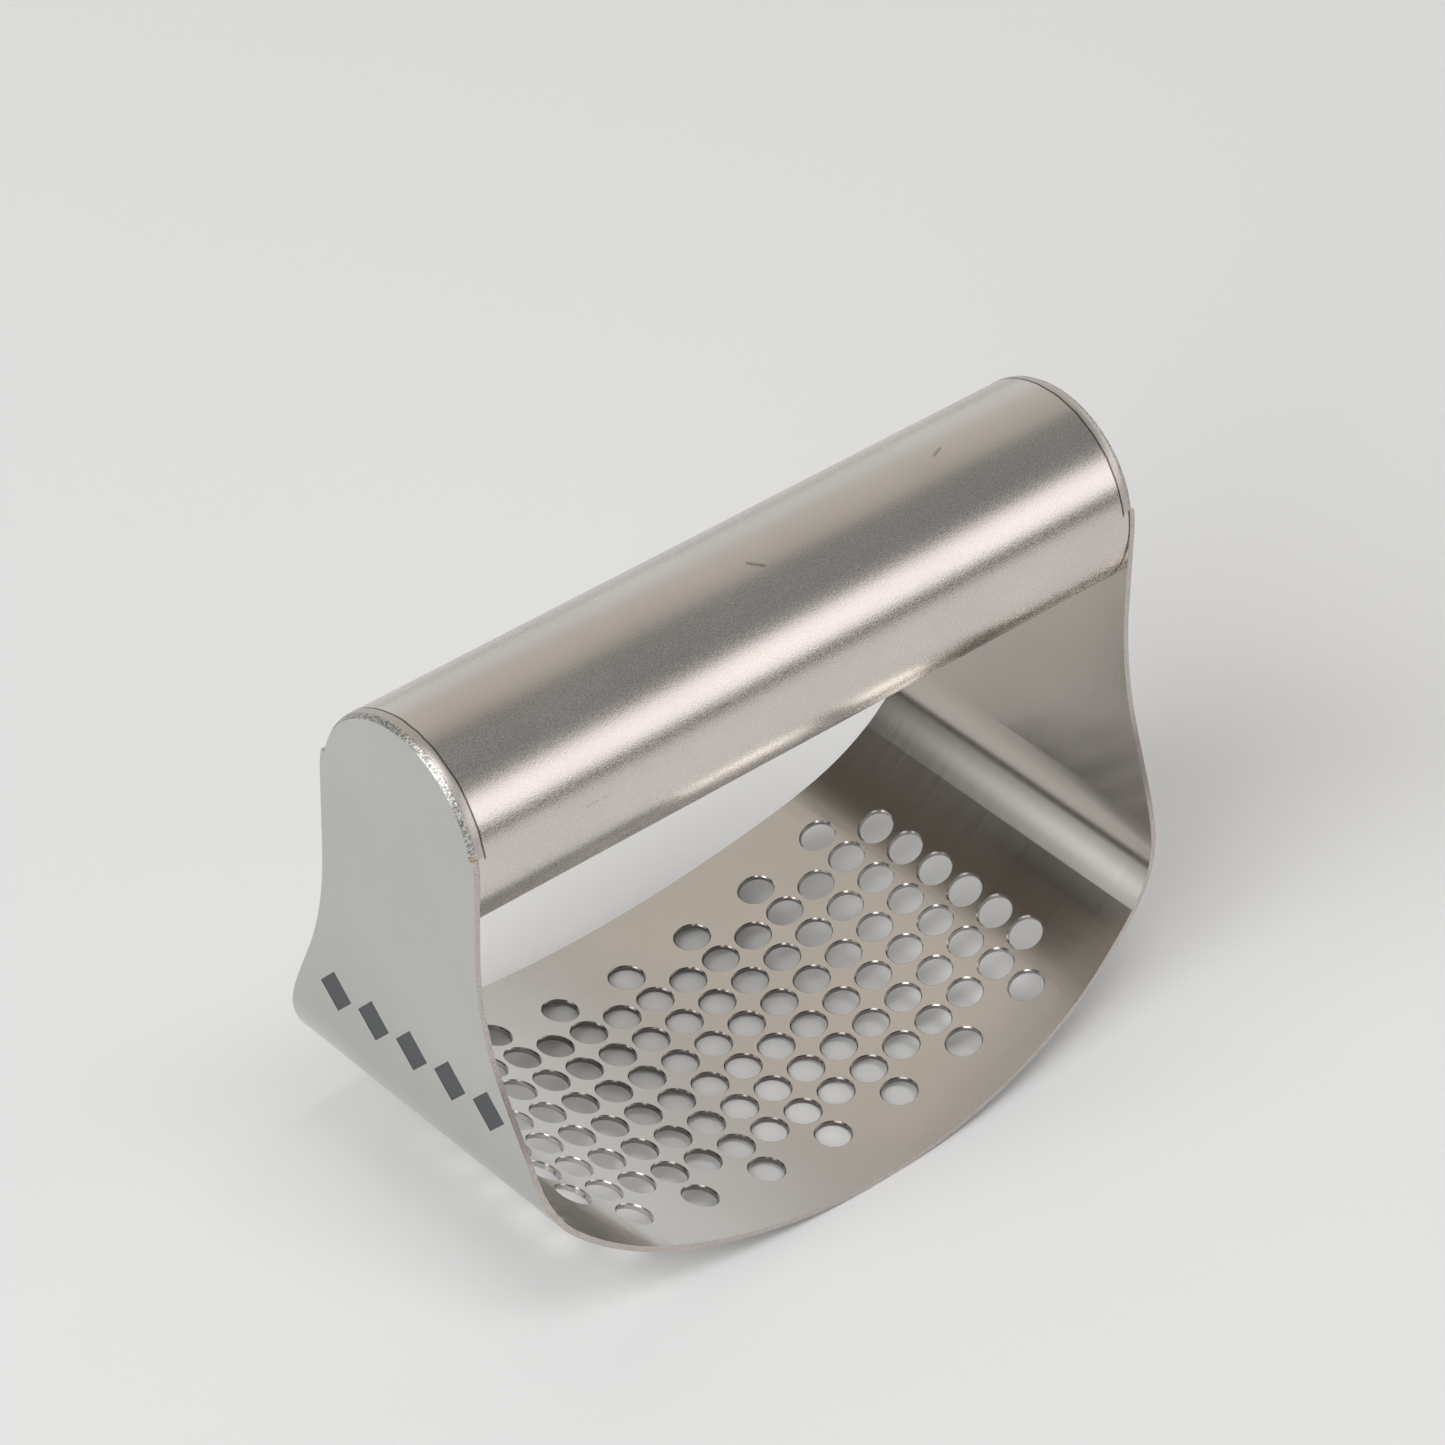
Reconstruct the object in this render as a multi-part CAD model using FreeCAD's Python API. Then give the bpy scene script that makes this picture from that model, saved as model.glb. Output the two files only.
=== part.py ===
import FreeCAD, Part
import math
import os

# Rocking garlic press: one bent, perforated steel plate with an upright ear at each end,
# and a round tube welded between the ears as the handle.
# Frame: millimetres, +Z up, +X along the handle, origin under the middle of the plate,
# on the surface that the press stands on.

# ---- driving dimensions (mm, degrees) ----
SHEET = 0.7                  # thickness of the plate
WIDTH = 52.4                 # across the plate at its middle

# side profile, as tangent arcs along the middle of the sheet, from the middle to an ear
ROCKER_R = 81.85             # the floor that rocks
ROCKER_TURN = 21.0
HAUNCH_R = 33.85             # where the floor starts to rise
HAUNCH_TURN = 24.0
BEND_R = 14.85               # the bend up into the ear
BEND_TURN = 39.5
BOW_R = 281.6                # the ear's lower part bows slightly before it stands upright
BOW_TURN = 90.0 - ROCKER_TURN - HAUNCH_TURN - BEND_TURN

# handle
TUBE_R = 12.5
TUBE_WALL = 1.0
TUBE_EDGE = 0.2              # broken edge at each end of the tube
GRIP_HEIGHT = 58.0           # handle axis above the inside of the floor

# cut edge of the flat blank, as tangent arcs from the middle to an ear's neck
SIDE_R = 215.0               # long outward arc of each side
SIDE_TURN = 9.5
EASE_R = 145.0               # arc that turns the other way, beside the bend
EASE_TURN = 4.0
SHOULDER_R = 40.0            # shoulder and neck of the ear
FLANK_ANGLE = 24.3           # slope of the straight flank between them
NECK_HALF = 12.55            # half width of the ear beside the handle
OUTLINE_STEP = 2.5           # spacing of the stations that the edge's spline runs through

# press holes, on a square grid on the flat blank
HOLE_D = 4.1
HOLE_PITCH = 5.0
HOLE_LINES = 15
LONG_LINE = 8                # holes in the lines that reach out furthest
SHORT_LINE = 6
HOLE_EDGE = 0.12             # broken edge of each hole

# weld between the ear and the tube, round the upper side only
WELD_START = 12.0            # above the horizontal, on each side
WELD_FACE_R = 12.0           # ground radius at the ear's outer face
WELD_BEVEL = (0.55, 12.38)   # distance in from the outer face, and radius
WELD_WIDTH = 1.65
WELD_ROOT = (0.9, 11.8)
WELD_CROWN = 0.05            # how far the polished band stands above a straight line

# row of lozenges stamped into the left ear and filled with dark enamel
MARK_COUNT = 5
MARK_PITCH = 6.35
MARK_SIZE = (5.2, 5.8)       # across the plate, and up the ear
MARK_CENTRE = (-0.8, 28.0)
MARK_DEPTH = 0.16
FILL_BELOW = 0.04            # the enamel stops this far under the surface

# ---- derived dimensions ----
AXIS_Z = SHEET + GRIP_HEIGHT
MID_Z = SHEET / 2.0
PROFILE = [
    (ROCKER_R, ROCKER_TURN),
    (HAUNCH_R, HAUNCH_TURN),
    (BEND_R, BEND_TURN),
    (BOW_R, BOW_TURN),
]
CLEAR = 3.0                  # how far the cutting tools reach past a surface
FAR = 40.0                   # further out than anything


def turtle(radius, turn, x, y, heading):
    """End point and heading of an arc; a positive turn goes to the left (degrees)."""
    side = math.copysign(1.0, turn)
    new_heading = heading + math.radians(turn)
    end_x = x + side * radius * (math.sin(new_heading) - math.sin(heading))
    end_y = y - side * radius * (math.cos(new_heading) - math.cos(heading))
    return end_x, end_y, new_heading


def profile_breaks():
    """Lengths along the sheet at which each arc of the side profile ends."""
    lengths = []
    total = 0.0
    for radius, turn in PROFILE:
        total += radius * math.radians(turn)
        lengths.append(total)
    return lengths


BREAKS = profile_breaks()


def sheet_point(length, offset, y=0.0):
    """Point at a developed length from the middle; a positive offset is towards the outside."""
    x, z, heading = 0.0, MID_Z, 0.0
    left = abs(length)
    for radius, turn in PROFILE:
        span = radius * math.radians(turn)
        step = min(left, span)
        x, z, heading = turtle(radius, math.degrees(step / radius), x, z, heading)
        left -= step
        if left <= 0.0:
            break
    if left > 0.0:
        z += left
    x += offset * math.sin(heading)
    z -= offset * math.cos(heading)
    return FreeCAD.Vector(math.copysign(x, length), y, z)


def sheet_slope(length):
    """Angle of the sheet from the horizontal, in degrees."""
    left = abs(length)
    slope = 0.0
    for radius, turn in PROFILE:
        span = radius * math.radians(turn)
        slope += math.degrees(min(left, span) / radius)
        left = max(left - span, 0.0)
    return math.copysign(slope, length)


UPRIGHT_Z = sheet_point(BREAKS[-1], 0.0).z
EAR_MID_X = sheet_point(BREAKS[-1], 0.0).x
EAR_IN_X = EAR_MID_X - SHEET / 2.0
EAR_OUT_X = EAR_MID_X + SHEET / 2.0
AXIS_LENGTH = BREAKS[-1] + AXIS_Z - UPRIGHT_Z
TOP_LENGTH = AXIS_LENGTH + TUBE_R + CLEAR


def profile_edges(offset, reach):
    """Edges of the side profile at an offset, from one ear to the other."""
    marks = [-reach] + [-b for b in reversed(BREAKS)] + BREAKS + [reach]
    edges = []
    for start, end in zip(marks[:-1], marks[1:]):
        a = sheet_point(start, offset)
        b = sheet_point(end, offset)
        if abs(start) == reach or abs(end) == reach:
            edges.append(Part.makeLine(a, b))
        else:
            middle = sheet_point((start + end) / 2.0, offset)
            edges.append(Part.Arc(a, middle, b).toShape())
    return edges


def bent_strip(inside, outside, reach):
    """A strip of the bent sheet between two offsets, wider than the plate."""
    edges = profile_edges(inside, reach) + profile_edges(outside, reach)
    for side in (-1, 1):
        start = sheet_point(side * reach, inside)
        end = sheet_point(side * reach, outside)
        edges.append(Part.makeLine(start, end))
    face = Part.Face(Part.Wire(Part.__sortEdges__(edges)))
    face.translate(FreeCAD.Vector(0, -FAR, 0))
    return face.extrude(FreeCAD.Vector(0, 2 * FAR, 0))


def outline_stations():
    """Developed length and half width along the cut edge, from the middle to the neck."""
    shoulder_turn = FLANK_ANGLE - (SIDE_TURN - EASE_TURN)
    stations = [(0.0, WIDTH / 2.0)]

    def follow_arc(radius, turn, x, y, heading):
        count = math.ceil(radius * math.radians(abs(turn)) / OUTLINE_STEP)
        for i in range(1, count + 1):
            px, py, end_heading = turtle(radius, turn * i / count, x, y, heading)
            stations.append((px, py))
        return px, py, end_heading

    x, y, heading = follow_arc(SIDE_R, -SIDE_TURN, 0.0, WIDTH / 2.0, 0.0)
    x, y, heading = follow_arc(EASE_R, EASE_TURN, x, y, heading)
    x, y, heading = follow_arc(SHOULDER_R, -shoulder_turn, x, y, heading)
    neck_drop = SHOULDER_R * (1.0 - math.cos(math.radians(FLANK_ANGLE)))
    flank_drop = y - NECK_HALF - neck_drop
    flank_run = flank_drop / math.tan(math.radians(FLANK_ANGLE))
    count = math.ceil(flank_run / OUTLINE_STEP)
    for i in range(1, count + 1):
        stations.append((x + flank_run * i / count, y - flank_drop * i / count))
    follow_arc(SHOULDER_R, FLANK_ANGLE, x + flank_run, y - flank_drop, heading)
    return stations


def side_cutter():
    """Everything beyond the cut edge on the +Y side, up to the neck."""
    stations = outline_stations()
    end, half = stations[-1]
    stations.append((end + CLEAR, half))
    both = [(-s, w) for s, w in reversed(stations[1:])] + stations
    lengths = [s for s, w in both]
    curves = []
    for offset in (-CLEAR, CLEAR):
        points = [sheet_point(s, offset, w) for s, w in both]
        curve = Part.BSplineCurve()
        curve.interpolate(Points=points, Parameters=lengths)
        curves.append(curve.toShape())
    return Part.makeRuledSurface(curves[0], curves[1]).extrude(FreeCAD.Vector(0, FAR, 0))


def round_top_cutter(neck_z):
    """Everything outside the ears' straight necks and round tops."""
    span = 2 * (EAR_OUT_X + CLEAR)
    corner = FreeCAD.Vector(-span / 2, -FAR, neck_z)
    block = Part.makeBox(span, 2 * FAR, FAR + AXIS_Z - neck_z, corner)
    low = FreeCAD.Vector(-span / 2, -NECK_HALF, neck_z - CLEAR)
    neck = Part.makeBox(span, 2 * NECK_HALF, AXIS_Z - neck_z + CLEAR, low)
    axis_end = FreeCAD.Vector(-span / 2, 0, AXIS_Z)
    head = Part.makeCylinder(NECK_HALF, span, axis_end, FreeCAD.Vector(1, 0, 0))
    return block.cut(neck.fuse(head))


def hole_cutter(length, y):
    """A hole through the sheet with both edges broken, square to the sheet."""
    r = HOLE_D / 2.0
    half = SHEET / 2.0
    wide = r + HOLE_EDGE + CLEAR / 2.0
    tall = half + CLEAR / 2.0
    lower = [(0, -tall), (wide, -tall), (r, -half + HOLE_EDGE)]
    upper = [(r, half - HOLE_EDGE), (wide, tall), (0, tall)]
    points = [FreeCAD.Vector(px, 0, pz) for px, pz in lower + upper]
    face = Part.Face(Part.makePolygon(points + points[:1]))
    tool = face.revolve(FreeCAD.Vector(0, 0, 0), FreeCAD.Vector(0, 0, 1), 360)
    tool.rotate(FreeCAD.Vector(0, 0, 0), FreeCAD.Vector(0, 1, 0), -sheet_slope(length))
    tool.translate(sheet_point(length, 0.0, y))
    return tool


def hole_cutters():
    """The whole grid: long and short lines take turns, and the end lines are short."""
    tools = []
    for line in range(HOLE_LINES):
        length = (line - (HOLE_LINES - 1) / 2.0) * HOLE_PITCH
        count = SHORT_LINE if line % 2 == 0 else LONG_LINE
        for i in range(count):
            tools.append(hole_cutter(length, (i - (count - 1) / 2.0) * HOLE_PITCH))
    return tools


def weld_section(side, space):
    """Section of a weld seam, or of the space ground out for it, beside one ear."""
    def point(inward, radius):
        return FreeCAD.Vector(side * (EAR_OUT_X - inward), radius, AXIS_Z)

    face_corner = point(0.0, WELD_FACE_R)
    bevel = point(*WELD_BEVEL)
    on_tube = point(WELD_WIDTH, TUBE_R)
    root = point(*WELD_ROOT)
    edges = [Part.makeLine(on_tube, root), Part.makeLine(root, face_corner)]
    if space:
        over_tube = point(WELD_WIDTH, TUBE_R + CLEAR)
        past_face = point(-CLEAR, TUBE_R + CLEAR)
        beside_face = point(-CLEAR, WELD_FACE_R)
        edges.append(Part.makeLine(on_tube, over_tube))
        edges.append(Part.makeLine(over_tube, past_face))
        edges.append(Part.makeLine(past_face, beside_face))
        edges.append(Part.makeLine(beside_face, face_corner))
    else:
        crown = (bevel + on_tube) * 0.5 + FreeCAD.Vector(0, WELD_CROWN, 0)
        edges.append(Part.makeLine(face_corner, bevel))
        edges.append(Part.Arc(bevel, crown, on_tube).toShape())
    return Part.Face(Part.Wire(Part.__sortEdges__(edges)))


def weld_ring(side, space):
    """The section swept round the upper side of the handle."""
    centre = FreeCAD.Vector(0, 0, AXIS_Z)
    along = FreeCAD.Vector(1, 0, 0)
    section = weld_section(side, space)
    section.rotate(centre, along, WELD_START)
    return section.revolve(centre, along, 180.0 - 2.0 * WELD_START)


def handle_tube():
    """Straight tube, open at both ends, with broken outer edges."""
    inner = TUBE_R - TUBE_WALL
    corners = [
        (-EAR_IN_X, inner),
        (-EAR_IN_X, TUBE_R - TUBE_EDGE),
        (-EAR_IN_X + TUBE_EDGE, TUBE_R),
        (EAR_IN_X - TUBE_EDGE, TUBE_R),
        (EAR_IN_X, TUBE_R - TUBE_EDGE),
        (EAR_IN_X, inner),
    ]
    points = [FreeCAD.Vector(x, r, AXIS_Z) for x, r in corners]
    face = Part.Face(Part.makePolygon(points + points[:1]))
    tube = face.revolve(FreeCAD.Vector(0, 0, AXIS_Z), FreeCAD.Vector(1, 0, 0), 360)
    return tube.cut([weld_ring(-1, True), weld_ring(1, True)])


def mark_prisms():
    """Lozenges drawn on the left ear, as long prisms along X."""
    half_y = MARK_SIZE[0] / 2.0
    half_z = MARK_SIZE[1] / 2.0
    prisms = []
    for i in range(MARK_COUNT):
        y = MARK_CENTRE[0] + (i - (MARK_COUNT - 1) / 2.0) * MARK_PITCH
        z = MARK_CENTRE[1]
        corners = [(y - half_y, z), (y, z - half_z), (y + half_y, z), (y, z + half_z)]
        points = [FreeCAD.Vector(-EAR_OUT_X - CLEAR, py, pz) for py, pz in corners]
        face = Part.Face(Part.makePolygon(points + points[:1]))
        prisms.append(face.extrude(FreeCAD.Vector(2 * CLEAR + SHEET, 0, 0)))
    return prisms


def mark_layer(inside, outside):
    """The lozenges cut out of a layer of the sheet between two offsets."""
    layer = bent_strip(inside, outside, AXIS_LENGTH)
    return [layer.common(prism) for prism in mark_prisms()]


def press_plate():
    """The bent plate, with its outline, holes, ground weld edges and stamped marks."""
    half = SHEET / 2.0
    plate = bent_strip(-half, half, TOP_LENGTH)
    far_side = side_cutter()
    near_side = far_side.mirror(FreeCAD.Vector(0, 0, 0), FreeCAD.Vector(0, 1, 0))
    neck_z = sheet_point(outline_stations()[-1][0], 0.0).z
    plate = plate.cut([near_side, far_side])
    plate = plate.cut(round_top_cutter(neck_z))
    plate = plate.cut([weld_ring(-1, True), weld_ring(1, True)])
    plate = plate.cut(mark_layer(half - MARK_DEPTH, half + CLEAR))
    return plate.cut(hole_cutters())


def mark_fill():
    """Dark enamel in the stamped lozenges."""
    half = SHEET / 2.0
    return Part.makeCompound(mark_layer(half - MARK_DEPTH, half - FILL_BELOW))


def save(name, shape):
    """Write one sub-part, as its solid or solids."""
    solids = shape.Solids
    body = solids[0] if len(solids) == 1 else Part.makeCompound(solids)
    body.exportStep(os.path.join("parts", name + ".step"))
    print(name, len(solids), "solid(s)", round(body.Volume, 2), "mm3", body.isValid())


os.makedirs("parts", exist_ok=True)
save("press_plate", press_plate())
save("handle_tube", handle_tube())
save("left_weld_seam", weld_ring(-1, False))
save("right_weld_seam", weld_ring(1, False))
save("mark_fill", mark_fill())
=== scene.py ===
import math

import bpy
from mathutils import Matrix, Vector

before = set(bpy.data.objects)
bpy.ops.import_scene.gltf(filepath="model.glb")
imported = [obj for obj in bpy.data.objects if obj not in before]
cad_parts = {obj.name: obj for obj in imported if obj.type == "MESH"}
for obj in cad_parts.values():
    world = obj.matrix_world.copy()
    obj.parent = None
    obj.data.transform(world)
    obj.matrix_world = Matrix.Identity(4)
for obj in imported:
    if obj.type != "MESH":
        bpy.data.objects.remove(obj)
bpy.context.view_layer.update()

# Lengths are in metres and angles in degrees. Colours are linear RGB.

# Camera, aimed at a point above the plate
CAMERA_AIM = Vector((0.00303, 0.00549, 0.04336))
CAMERA_DISTANCE = 0.694
CAMERA_AZIMUTH = -42.315
CAMERA_ELEVATION = 38.144
CAMERA_ROLL = 1.201
CAMERA_LENS = 158.55
SENSOR = 36.0
CLIP = (0.01, 50.0)

# Places on the object. Each pair is where a soft border starts and ends.
ROCKER_CENTRE_Z = 0.0822                # axis of the rocker floor's arc
HOLES_END_X = (0.0365, 0.0385)
HOLES_END_Y = (0.0205, 0.0215)
HOLES_END_Z = (0.012, 0.014)
WALL_FACING = (0.75, 0.97)              # how far a hole's wall turns away from the arc
CUT_FACING = (0.25, 0.7)                # how far the cut edge faces sideways
FAR_WALLS_X = (0.011, 0.029)            # painted shade on the hole walls gets lighter towards the ends
INNER_FACING = (-0.6, -0.3)             # faces of the ears and bends that look inward, which get painted shade
OUTER_FACING = (0.5, 0.8)               # faces of the ears that look outward
# Painted shade: the outer ear faces go from dark to light as they rise through this band
OUTER_RISE_Z = (0.018, 0.040)
GRAIN_RISE_Z = (0.050, 0.060)           # the tube's blasted grain is deeper above this
WELD_BEVEL_X = (0.0463, 0.0466)
WELD_TOE_X = 0.04542
WELD_END_Z = 0.0613
TOE_FADE = (0.00006, 0.00018)
TOE_WAVER = 0.0003
NICK_WAVER = 0.0005

# Steel colours. A pair is the dark and the light end of a mottled surface; for the outer ear
# faces the pair is painted shade, dark low down and light higher up.
FLOOR_STEEL = (0.66, 0.635, 0.605)
# Painted shade: the inward faces of the ears and bends are darker and warmer than the floor steel
INNER_PAINTED_SHADE = (0.50, 0.465, 0.42)
OUTER_PAINTED_SHADE = ((0.505, 0.512, 0.495), (0.565, 0.565, 0.545))
CUT_STEEL = ((0.42, 0.37, 0.352), (0.66, 0.60, 0.57))
# Painted shade on the press-hole walls: deep near the middle of the plate, lighter towards the
# ends
WALL_PAINTED_SHADE_DEEP = ((0.17, 0.15, 0.14), (0.25, 0.225, 0.21))
WALL_PAINTED_SHADE_LIGHT = ((0.40, 0.38, 0.36), (0.50, 0.475, 0.455))
TUBE_STEEL = (0.675, 0.632, 0.592)
GROUND_STEEL = ((0.19, 0.18, 0.172), (0.66, 0.64, 0.61))
POLISHED_STEEL = ((0.54, 0.50, 0.47), (0.64, 0.60, 0.56))
WELD_HEAT = (0.62, 0.46, 0.24)          # golden tint at the weld's lower end
TOE_TONE = (0.07, 0.062, 0.058)
NICK_TONE = (0.10, 0.092, 0.085)
ENAMEL = ((0.022, 0.026, 0.030), (0.044, 0.050, 0.056))

# Grain of the sheet: noise is stretched this much along the strip
STRETCH = 0.012
ACROSS_STRIP = (0.0, 1.0, 0.0)
ACROSS_EDGE = (0.6, 0.0, 0.8)

# Small marks of use on the tube: two ends, width, strength
NICKS = [
    ((-0.00067, -0.00198, 0.07104), (0.00060, -0.00317, 0.07079), 0.00034, 0.55),
    ((0.02745, -0.00065, 0.07118), (0.02887, -0.00007, 0.07120), 0.00032, 0.5),
    ((-0.03174, -0.01234, 0.06071), (-0.03025, -0.01233, 0.06073), 0.00014, 0.25),
    ((-0.02971, -0.01234, 0.06071), (-0.02862, -0.01234, 0.06069), 0.00014, 0.25),
]

# Studio
STUDIO_CENTRE = Vector((0.0, 0.0, 0.04))
FLOOR_SIZE = 12.0
FLOOR_TONE = ((0.765, 0.765, 0.762), (0.785, 0.785, 0.782))
BOARD_TONE = ((0.05, 0.034, 0.026), (0.065, 0.045, 0.034))
BOARD_BOTTOM = 0.004
BOARD_STEP = 5
CARD_X = -0.115
CARD_Y = (0.064, 0.16)
CARD_Z = (0.026, 0.21)
CARD_TONE = ((0.05, 0.045, 0.04), (0.07, 0.06, 0.055))
CARD_GLOW = (1.72, 1.81, 1.86)

# Name, azimuth, elevation, distance, width, height, radiance, colour
LIGHTS = [
    ("window", 145, 20.5, 1.3, 1.5, 0.60, 0.62, (1.0, 0.92, 0.95)),
    ("overhead", 190, 74, 3.0, 1.5, 1.3, 2.7, (1.0, 0.985, 0.97)),
    ("left_light", 262, 35, 1.7, 1.5, 1.3, 3.0, (0.97, 0.985, 1.0)),
]

# World light by height of the direction, -1 straight down to 1 straight up
AIR = [
    (-0.05, (0.30, 0.28, 0.26)),
    (0.0, (0.76, 0.79, 0.80)),
    (0.30, (0.74, 0.75, 0.75)),
    (0.62, (0.58, 0.555, 0.52)),
    (0.84, (0.50, 0.47, 0.43)),
    (0.91, (0.15, 0.15, 0.15)),
    (1.0, (0.15, 0.15, 0.15)),
]
# Round patches over it, later ones on top: azimuth, elevation, outer and inner radius, colour
AIR_PATCHES = [
    (15, 50, 30, 8, (0.64, 0.59, 0.53)),
    (96, 12, 34, 16, (1.25, 1.25, 1.23)),
    (118, 50, 30, 16, (0.20, 0.205, 0.205)),
    (98, 58, 18, 7, (0.22, 0.225, 0.225)),
    (225, 50, 50, 25, (0.15, 0.15, 0.15)),
    (-36, 38, 25, 14, (0.12, 0.103, 0.088)),
    (-44, 14, 18, 10, (0.12, 0.103, 0.088)),
]


# ------------------------------------------------------------------ small tools

def heading(azimuth, elevation):
    """Unit vector: azimuth from +Y towards +X, elevation above the floor."""
    a = math.radians(azimuth)
    e = math.radians(elevation)
    return Vector((math.sin(a) * math.cos(e), math.cos(a) * math.cos(e), math.sin(e)))


class Graph:
    """Short names for building one node tree."""

    def __init__(self, tree):
        self.tree = tree
        self.nodes = tree.nodes
        self.nodes.clear()

    def add(self, kind, **settings):
        node = self.nodes.new(kind)
        for name, value in settings.items():
            setattr(node, name, value)
        return node

    def join(self, source, target):
        """Link an output to a socket, or set the socket to a constant."""
        if isinstance(source, (int, float)):
            target.default_value = source
        elif isinstance(source, (tuple, list, Vector)):
            target.default_value = tuple(source)
        else:
            self.tree.links.new(source, target)

    def math(self, operation, *values, clamp=False):
        node = self.add("ShaderNodeMath", operation=operation, use_clamp=clamp)
        for index, value in enumerate(values):
            self.join(value, node.inputs[index])
        return node.outputs[0]

    def product(self, first, *others):
        for other in others:
            first = self.math("MULTIPLY", first, other)
        return first

    def vector(self, operation, *values):
        node = self.add("ShaderNodeVectorMath", operation=operation)
        for index, value in enumerate(values):
            self.join(value, node.inputs[index])
        wanted = "Value" if operation in ("DOT_PRODUCT", "DISTANCE", "LENGTH") else "Vector"
        return node.outputs[wanted]

    def scaled(self, vector, amount):
        result = self.vector("SCALE", vector)
        self.join(amount, result.node.inputs["Scale"])
        return result

    def split(self, vector):
        node = self.add("ShaderNodeSeparateXYZ")
        self.join(vector, node.inputs[0])
        return node.outputs

    def gather(self, x, y, z):
        node = self.add("ShaderNodeCombineXYZ")
        for index, value in enumerate((x, y, z)):
            self.join(value, node.inputs[index])
        return node.outputs[0]

    def fade(self, value, low, high, at_low=0.0, at_high=1.0):
        """Smooth step from at_low to at_high as value goes from low to high."""
        node = self.add("ShaderNodeMapRange", interpolation_type="SMOOTHSTEP")
        self.join(value, node.inputs["Value"])
        pairs = (("From Min", low), ("From Max", high), ("To Min", at_low), ("To Max", at_high))
        for name, number in pairs:
            node.inputs[name].default_value = number
        return node.outputs[0]

    def noise(self, vector, scale, detail=2.0, rough=0.5):
        node = self.add("ShaderNodeTexNoise")
        self.join(vector, node.inputs["Vector"])
        node.inputs["Scale"].default_value = scale
        node.inputs["Detail"].default_value = detail
        node.inputs["Roughness"].default_value = rough
        return node.outputs[0]

    def mix(self, amount, first, second):
        """Blend two colours."""
        node = self.add("ShaderNodeMix", data_type="RGBA")
        self.join(amount, node.inputs[0])
        for socket, value in ((node.inputs[6], first), (node.inputs[7], second)):
            if isinstance(value, tuple) and len(value) == 3:
                value = (*value, 1.0)
            self.join(value, socket)
        return node.outputs[2]

    def blend(self, amount, first, second):
        """Blend two vectors."""
        node = self.add("ShaderNodeMix", data_type="VECTOR")
        for index, value in ((0, amount), (4, first), (5, second)):
            self.join(value, node.inputs[index])
        return node.outputs[1]

    def bump(self, height, distance, normal=None):
        node = self.add("ShaderNodeBump")
        node.inputs["Distance"].default_value = distance
        node.inputs["Strength"].default_value = 1.0
        self.join(height, node.inputs["Height"])
        if normal is not None:
            self.join(normal, node.inputs["Normal"])
        return node.outputs[0]


def new_material(name):
    material = bpy.data.materials.new(name)
    material.use_nodes = True
    graph = Graph(material.node_tree)
    shader = graph.add("ShaderNodeBsdfPrincipled")
    output = graph.add("ShaderNodeOutputMaterial")
    graph.join(shader.outputs[0], output.inputs[0])
    place = graph.add("ShaderNodeTexCoord").outputs["Object"]
    return material, graph, shader, place


# ------------------------------------------------------------------ materials

def hole_wall(g, place, true_normal):
    """1 on the walls and broken edges of the press holes, 0 elsewhere."""
    x, y, z = g.split(place)
    arc_centre = g.gather(0.0, y, ROCKER_CENTRE_Z)
    from_arc = g.vector("NORMALIZE", g.vector("SUBTRACT", place, arc_centre))
    facing = g.math("ABSOLUTE", g.vector("DOT_PRODUCT", true_normal, from_arc))
    in_x = g.fade(g.math("ABSOLUTE", x), *HOLES_END_X, 1.0, 0.0)
    in_y = g.fade(g.math("ABSOLUTE", y), *HOLES_END_Y, 1.0, 0.0)
    in_z = g.fade(z, *HOLES_END_Z, 1.0, 0.0)
    return g.product(g.fade(facing, *WALL_FACING, 1.0, 0.0), in_x, in_z, in_y)


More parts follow.
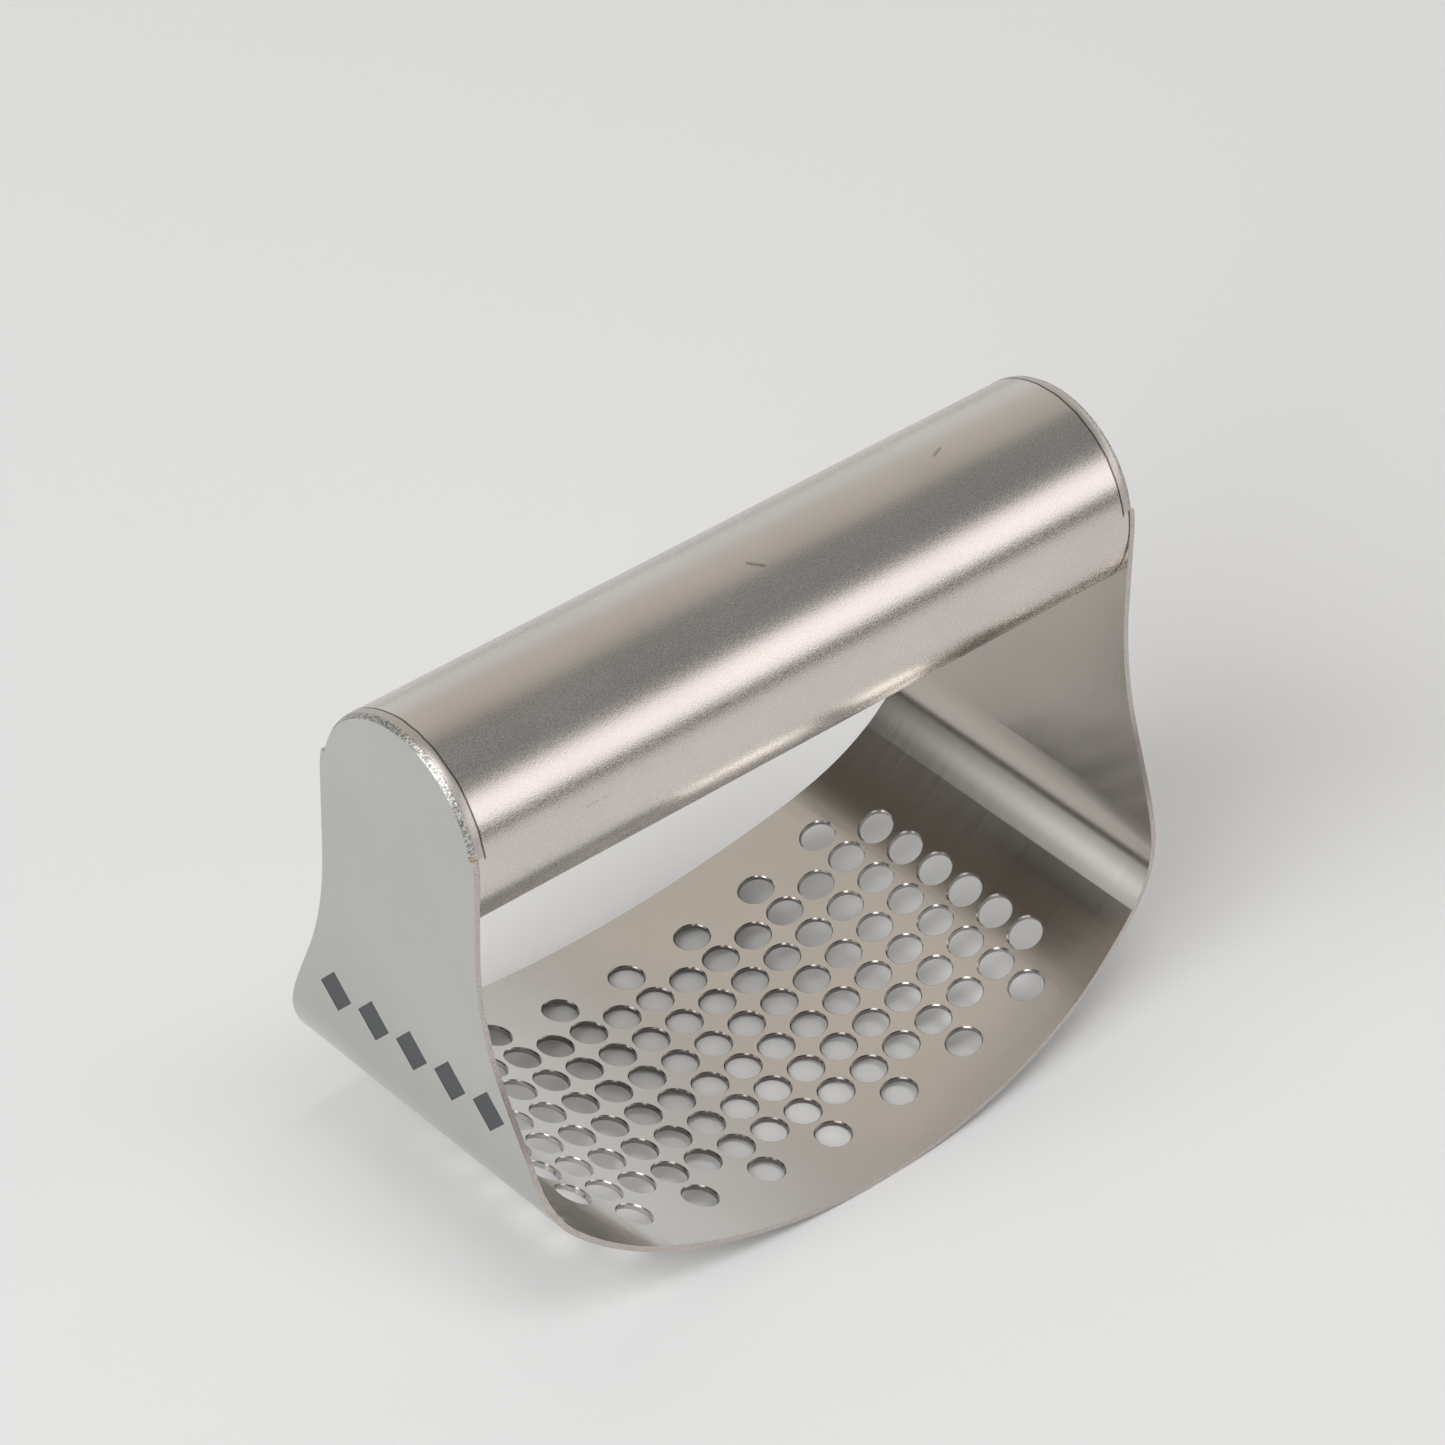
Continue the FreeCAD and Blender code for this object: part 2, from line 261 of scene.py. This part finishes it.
def sheet_steel():
    """Rolled stainless sheet: grain along the strip, rougher cut edges. Painted shade darkens the
    inward ear and bend faces, the outer ear faces low down, and the hole walls.
    """
    material, g, shader, place = new_material("brushed_plate")
    x, y, z = g.split(place)
    true_normal = g.add("ShaderNodeNewGeometry").outputs["True Normal"]
    normal_x, normal_y, _ = g.split(true_normal)
    cut = g.fade(g.math("ABSOLUTE", normal_y), *CUT_FACING)
    wall = hole_wall(g, place, true_normal)

    along = g.gather(g.math("MULTIPLY", x, STRETCH), y, g.math("MULTIPLY", z, STRETCH))
    fine = g.noise(along, 5200.0, 2.0, 0.55)
    broad = g.noise(along, 900.0, 2.0, 0.5)
    cloud = g.noise(place, 60.0, 2.0, 0.5)
    crumbs = g.noise(place, 7000.0, 2.0, 0.6)
    mottle = g.fade(crumbs, 0.35, 0.65)

    streak = g.math("ADD", g.math("MULTIPLY", fine, 0.65), g.math("MULTIPLY", broad, 0.35))
    tone = g.product(g.fade(streak, 0.3, 0.7, 0.985, 1.015), g.fade(cloud, 0.3, 0.7, 0.97, 1.02))
    outward = g.product(g.math("SIGN", x), normal_x)
    # Painted shade on the inward faces of the ears and bends, then on the outer ear faces low
    # down
    shade = g.mix(g.fade(outward, *INNER_FACING, 1.0, 0.0), FLOOR_STEEL, INNER_PAINTED_SHADE)
    outer = g.mix(g.fade(z, *OUTER_RISE_Z), *OUTER_PAINTED_SHADE)
    face = g.scaled(g.mix(g.fade(outward, *OUTER_FACING), shade, outer), tone)
    edge = g.mix(mottle, *CUT_STEEL)
    far = g.fade(g.math("ABSOLUTE", x), *FAR_WALLS_X)
    # Painted shade on the hole walls and their broken edges, deeper near the middle
    wall_painted_shade = g.mix(far, g.mix(mottle, *WALL_PAINTED_SHADE_DEEP), g.mix(mottle, *WALL_PAINTED_SHADE_LIGHT))
    g.join(g.mix(wall, g.mix(cut, face, edge), wall_painted_shade), shader.inputs["Base Color"])

    rough = g.fade(streak, 0.25, 0.75, 0.155, 0.19)
    rough = g.math("ADD", rough, g.math("MULTIPLY", cut, 0.08))
    g.join(rough, shader.inputs["Roughness"])
    shader.inputs["Metallic"].default_value = 1.0
    shader.inputs["Anisotropic"].default_value = 0.65
    g.join(g.blend(cut, ACROSS_STRIP, ACROSS_EDGE), shader.inputs["Tangent"])

    grain = g.bump(fine, 0.0000018)
    ripple = g.bump(crumbs, 0.000002, grain)
    g.join(g.blend(cut, grain, ripple), shader.inputs["Normal"])
    return material


def near_line(g, place, start, end):
    """Distance from the straight line between two points."""
    start = Vector(start)
    run = Vector(end) - start
    offset = g.vector("SUBTRACT", place, start)
    share = g.math("DIVIDE", g.vector("DOT_PRODUCT", offset, run), run.length_squared, clamp=True)
    return g.vector("LENGTH", g.vector("SUBTRACT", offset, g.scaled(run, share)))


def toe_line(g, place):
    """Thin dark line where the weld meets the tube, over the welded part only."""
    x, _, z = g.split(place)
    wobble = g.noise(place, 420.0, 1.0, 0.5)
    waver = g.math("MULTIPLY_ADD", wobble, TOE_WAVER, -TOE_WAVER / 2)
    reach = g.math("ADD", g.math("ABSOLUTE", x), waver)
    away = g.math("ABSOLUTE", g.math("SUBTRACT", reach, WELD_TOE_X))
    line = g.fade(away, *TOE_FADE, 1.0, 0.0)
    return g.product(line, g.fade(z, WELD_END_Z - 0.0006, WELD_END_Z, 0.0, 0.85))


def blasted_steel():
    """Fine bead-blasted tube with a few nicks."""
    material, g, shader, place = new_material("satin_tube")
    grain = g.noise(place, 5600.0, 1.5, 0.5)
    cloud = g.noise(place, 70.0, 2.0, 0.5)

    base = g.scaled(TUBE_STEEL, g.fade(cloud, 0.3, 0.7, 0.97, 1.02))
    base = g.mix(toe_line(g, place), base, TOE_TONE)
    waver = g.math("MULTIPLY_ADD", grain, NICK_WAVER, -NICK_WAVER / 2)
    for start, end, width, strength in NICKS:
        away = g.math("ADD", near_line(g, place, start, end), waver)
        base = g.mix(g.fade(away, 0.0, width, strength, 0.0), base, NICK_TONE)
    g.join(base, shader.inputs["Base Color"])
    g.join(g.fade(grain, 0.3, 0.7, 0.22, 0.30), shader.inputs["Roughness"])
    shader.inputs["Metallic"].default_value = 1.0

    height = g.split(place)[2]
    bump = g.bump(grain, 0.000010)
    depth = g.fade(height, *GRAIN_RISE_Z, 0.000004, 0.000010)
    g.join(depth, bump.node.inputs["Distance"])
    g.join(bump, shader.inputs["Normal"])
    return material


def weld_steel():
    """Weld bead ground flush: coarse bevel outside, smoother band, dark toe."""
    material, g, shader, place = new_material("ground_weld")
    grit = g.noise(place, 4200.0, 3.0, 0.6)
    x, _, z = g.split(place)
    ground = g.mix(g.fade(grit, 0.35, 0.65), *GROUND_STEEL)
    polished = g.mix(g.fade(grit, 0.3, 0.7), *POLISHED_STEEL)
    bevel = g.fade(g.math("ABSOLUTE", x), *WELD_BEVEL_X)
    base = g.mix(bevel, polished, ground)
    base = g.mix(toe_line(g, place), base, TOE_TONE)
    low = g.fade(z, WELD_END_Z - 0.0002, WELD_END_Z + 0.0006, 0.75, 0.0)
    base = g.mix(g.product(low, bevel), base, WELD_HEAT)
    g.join(base, shader.inputs["Base Color"])
    shader.inputs["Roughness"].default_value = 0.4
    shader.inputs["Metallic"].default_value = 1.0
    g.join(g.bump(grit, 0.000014), shader.inputs["Normal"])
    return material


def dark_fill():
    """Dark enamel in the pressed marks."""
    material, g, shader, place = new_material("dark_enamel")
    speck = g.noise(place, 2500.0, 3.0, 0.6)
    g.join(g.mix(speck, *ENAMEL), shader.inputs["Base Color"])
    shader.inputs["Roughness"].default_value = 0.42
    g.join(g.bump(speck, 0.00001), shader.inputs["Normal"])
    return material


def wear(node, material):
    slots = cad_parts[node].data.materials
    slots.clear()
    slots.append(material)


# ------------------------------------------------------------------ studio

def add_mesh(name, points, faces, material):
    mesh = bpy.data.meshes.new(name)
    mesh.from_pydata(points, [], faces)
    mesh.materials.append(material)
    thing = bpy.data.objects.new(name, mesh)
    bpy.context.scene.collection.objects.link(thing)
    return thing


def only_in_reflections(thing):
    thing.visible_camera = False
    thing.visible_diffuse = False
    thing.visible_shadow = False


def pale_floor():
    material, g, shader, place = new_material("pale_floor")
    g.join(g.mix(g.noise(place, 3.0), *FLOOR_TONE), shader.inputs["Base Color"])
    shader.inputs["Roughness"].default_value = 0.9
    shader.inputs["Specular IOR Level"].default_value = 0.03
    half = FLOOR_SIZE / 2
    corners = [(-half, -half, 0.0), (half, -half, 0.0), (half, half, 0.0), (-half, half, 0.0)]
    floor = add_mesh("floor", corners, [(0, 1, 2, 3)], material)


def soft_box(name, azimuth, elevation, distance, width, height, radiance, colour):
    """Rectangular light that faces the object. The camera does not see it."""
    light = bpy.data.lights.new(name, "AREA")
    light.shape = "RECTANGLE"
    light.size = width
    light.size_y = height
    light.energy = radiance * 4.0 * width * height
    light.color = colour
    box = bpy.data.objects.new(name, light)
    bpy.context.scene.collection.objects.link(box)
    way = heading(azimuth, elevation)
    turn = way.to_track_quat("Z", "Y").to_matrix().to_4x4()
    box.matrix_world = Matrix.Translation(STUDIO_CENTRE + way * distance) @ turn
    box.visible_camera = False


def dark_strip(name, first, last, near, top):
    """Curved dark board standing on the table between two azimuths."""
    points = []
    faces = []
    for index, azimuth in enumerate(range(first, last, BOARD_STEP)):
        way = heading(azimuth, 0) * near
        points += [(way.x, way.y, BOARD_BOTTOM), (way.x, way.y, top)]
        if index:
            faces.append((2 * index - 2, 2 * index, 2 * index + 1, 2 * index - 1))
    material, g, shader, place = new_material("dark_board")
    g.join(g.mix(g.noise(place, 8.0), *BOARD_TONE), shader.inputs["Base Color"])
    shader.inputs["Roughness"].default_value = 0.8
    strip = add_mesh(name, points, faces, material)
    only_in_reflections(strip)


def bright_card():
    """Small glowing card beyond the left end, brightest at its near edge."""
    material, g, shader, place = new_material("pale_card")
    _, y, z = g.split(place)
    level = g.product(g.fade(y, 0.068, 0.150, 1.0, 0.0), g.fade(y, 0.066, 0.078))
    tall = g.product(g.fade(z, 0.030, 0.080, 0.5, 1.0), g.fade(z, 0.085, 0.205, 1.0, 0.0))
    glow = g.scaled(CARD_GLOW, g.product(level, tall))
    g.join(glow, shader.inputs["Emission Color"])
    shader.inputs["Emission Strength"].default_value = 1.0
    g.join(g.mix(g.noise(place, 30.0), *CARD_TONE), shader.inputs["Base Color"])
    shader.inputs["Roughness"].default_value = 0.9
    (front, back), (bottom, top) = CARD_Y, CARD_Z
    corners = ((front, bottom), (back, bottom), (back, top), (front, top))
    points = [(CARD_X, y, z) for y, z in corners]
    card = add_mesh("bright_card", points, [(0, 1, 2, 3)], material)
    only_in_reflections(card)


def studio_air():
    """World light: pale low down, dark overhead, with brighter and darker patches."""
    world = bpy.data.worlds.new("studio")
    world.use_nodes = True
    bpy.context.scene.world = world
    g = Graph(world.node_tree)
    way = g.add("ShaderNodeTexCoord").outputs["Generated"]
    ramp = g.add("ShaderNodeValToRGB")
    g.join(g.math("MULTIPLY_ADD", g.split(way)[2], 0.5, 0.5), ramp.inputs[0])
    band = ramp.color_ramp
    while len(band.elements) < len(AIR):
        band.elements.new(0.5)
    for element, (level, tone) in zip(band.elements, AIR):
        element.position = level * 0.5 + 0.5
        element.color = (*tone, 1.0)
    colour = ramp.outputs[0]
    for azimuth, elevation, outer, inner, tone in AIR_PATCHES:
        facing = g.vector("DOT_PRODUCT", way, heading(azimuth, elevation))
        border = (math.cos(math.radians(outer)), math.cos(math.radians(inner)))
        colour = g.mix(g.fade(facing, *border), colour, tone)
    back = g.add("ShaderNodeBackground")
    g.join(colour, back.inputs[0])
    output = g.add("ShaderNodeOutputWorld")
    g.join(back.outputs[0], output.inputs[0])


def make_camera():
    data = bpy.data.cameras.new("camera")
    data.lens = CAMERA_LENS
    data.sensor_width = SENSOR
    data.clip_start, data.clip_end = CLIP
    camera = bpy.data.objects.new("camera", data)
    bpy.context.scene.collection.objects.link(camera)
    azimuth = math.radians(CAMERA_AZIMUTH)
    elevation = math.radians(CAMERA_ELEVATION)
    level = math.cos(elevation)
    back = Vector((math.sin(azimuth) * level, -math.cos(azimuth) * level, math.sin(elevation)))
    turn = back.to_track_quat("Z", "Y").to_matrix().to_4x4()
    roll = Matrix.Rotation(math.radians(CAMERA_ROLL), 4, "Z")
    camera.matrix_world = Matrix.Translation(CAMERA_AIM + back * CAMERA_DISTANCE) @ turn @ roll
    bpy.context.scene.camera = camera


# ------------------------------------------------------------------ the scene

weld = weld_steel()
wear("press_plate", sheet_steel())
wear("handle_tube", blasted_steel())
wear("left_weld_seam", weld)
wear("right_weld_seam", weld)
wear("mark_fill", dark_fill())

pale_floor()
studio_air()
dark_strip("front_board", 95, 200, 0.62, 0.125)
dark_strip("back_board", -80, -20, 0.25, 0.030)
for light in LIGHTS:
    soft_box(*light)
bright_card()
make_camera()
bpy.context.scene.view_settings.view_transform = "Standard"
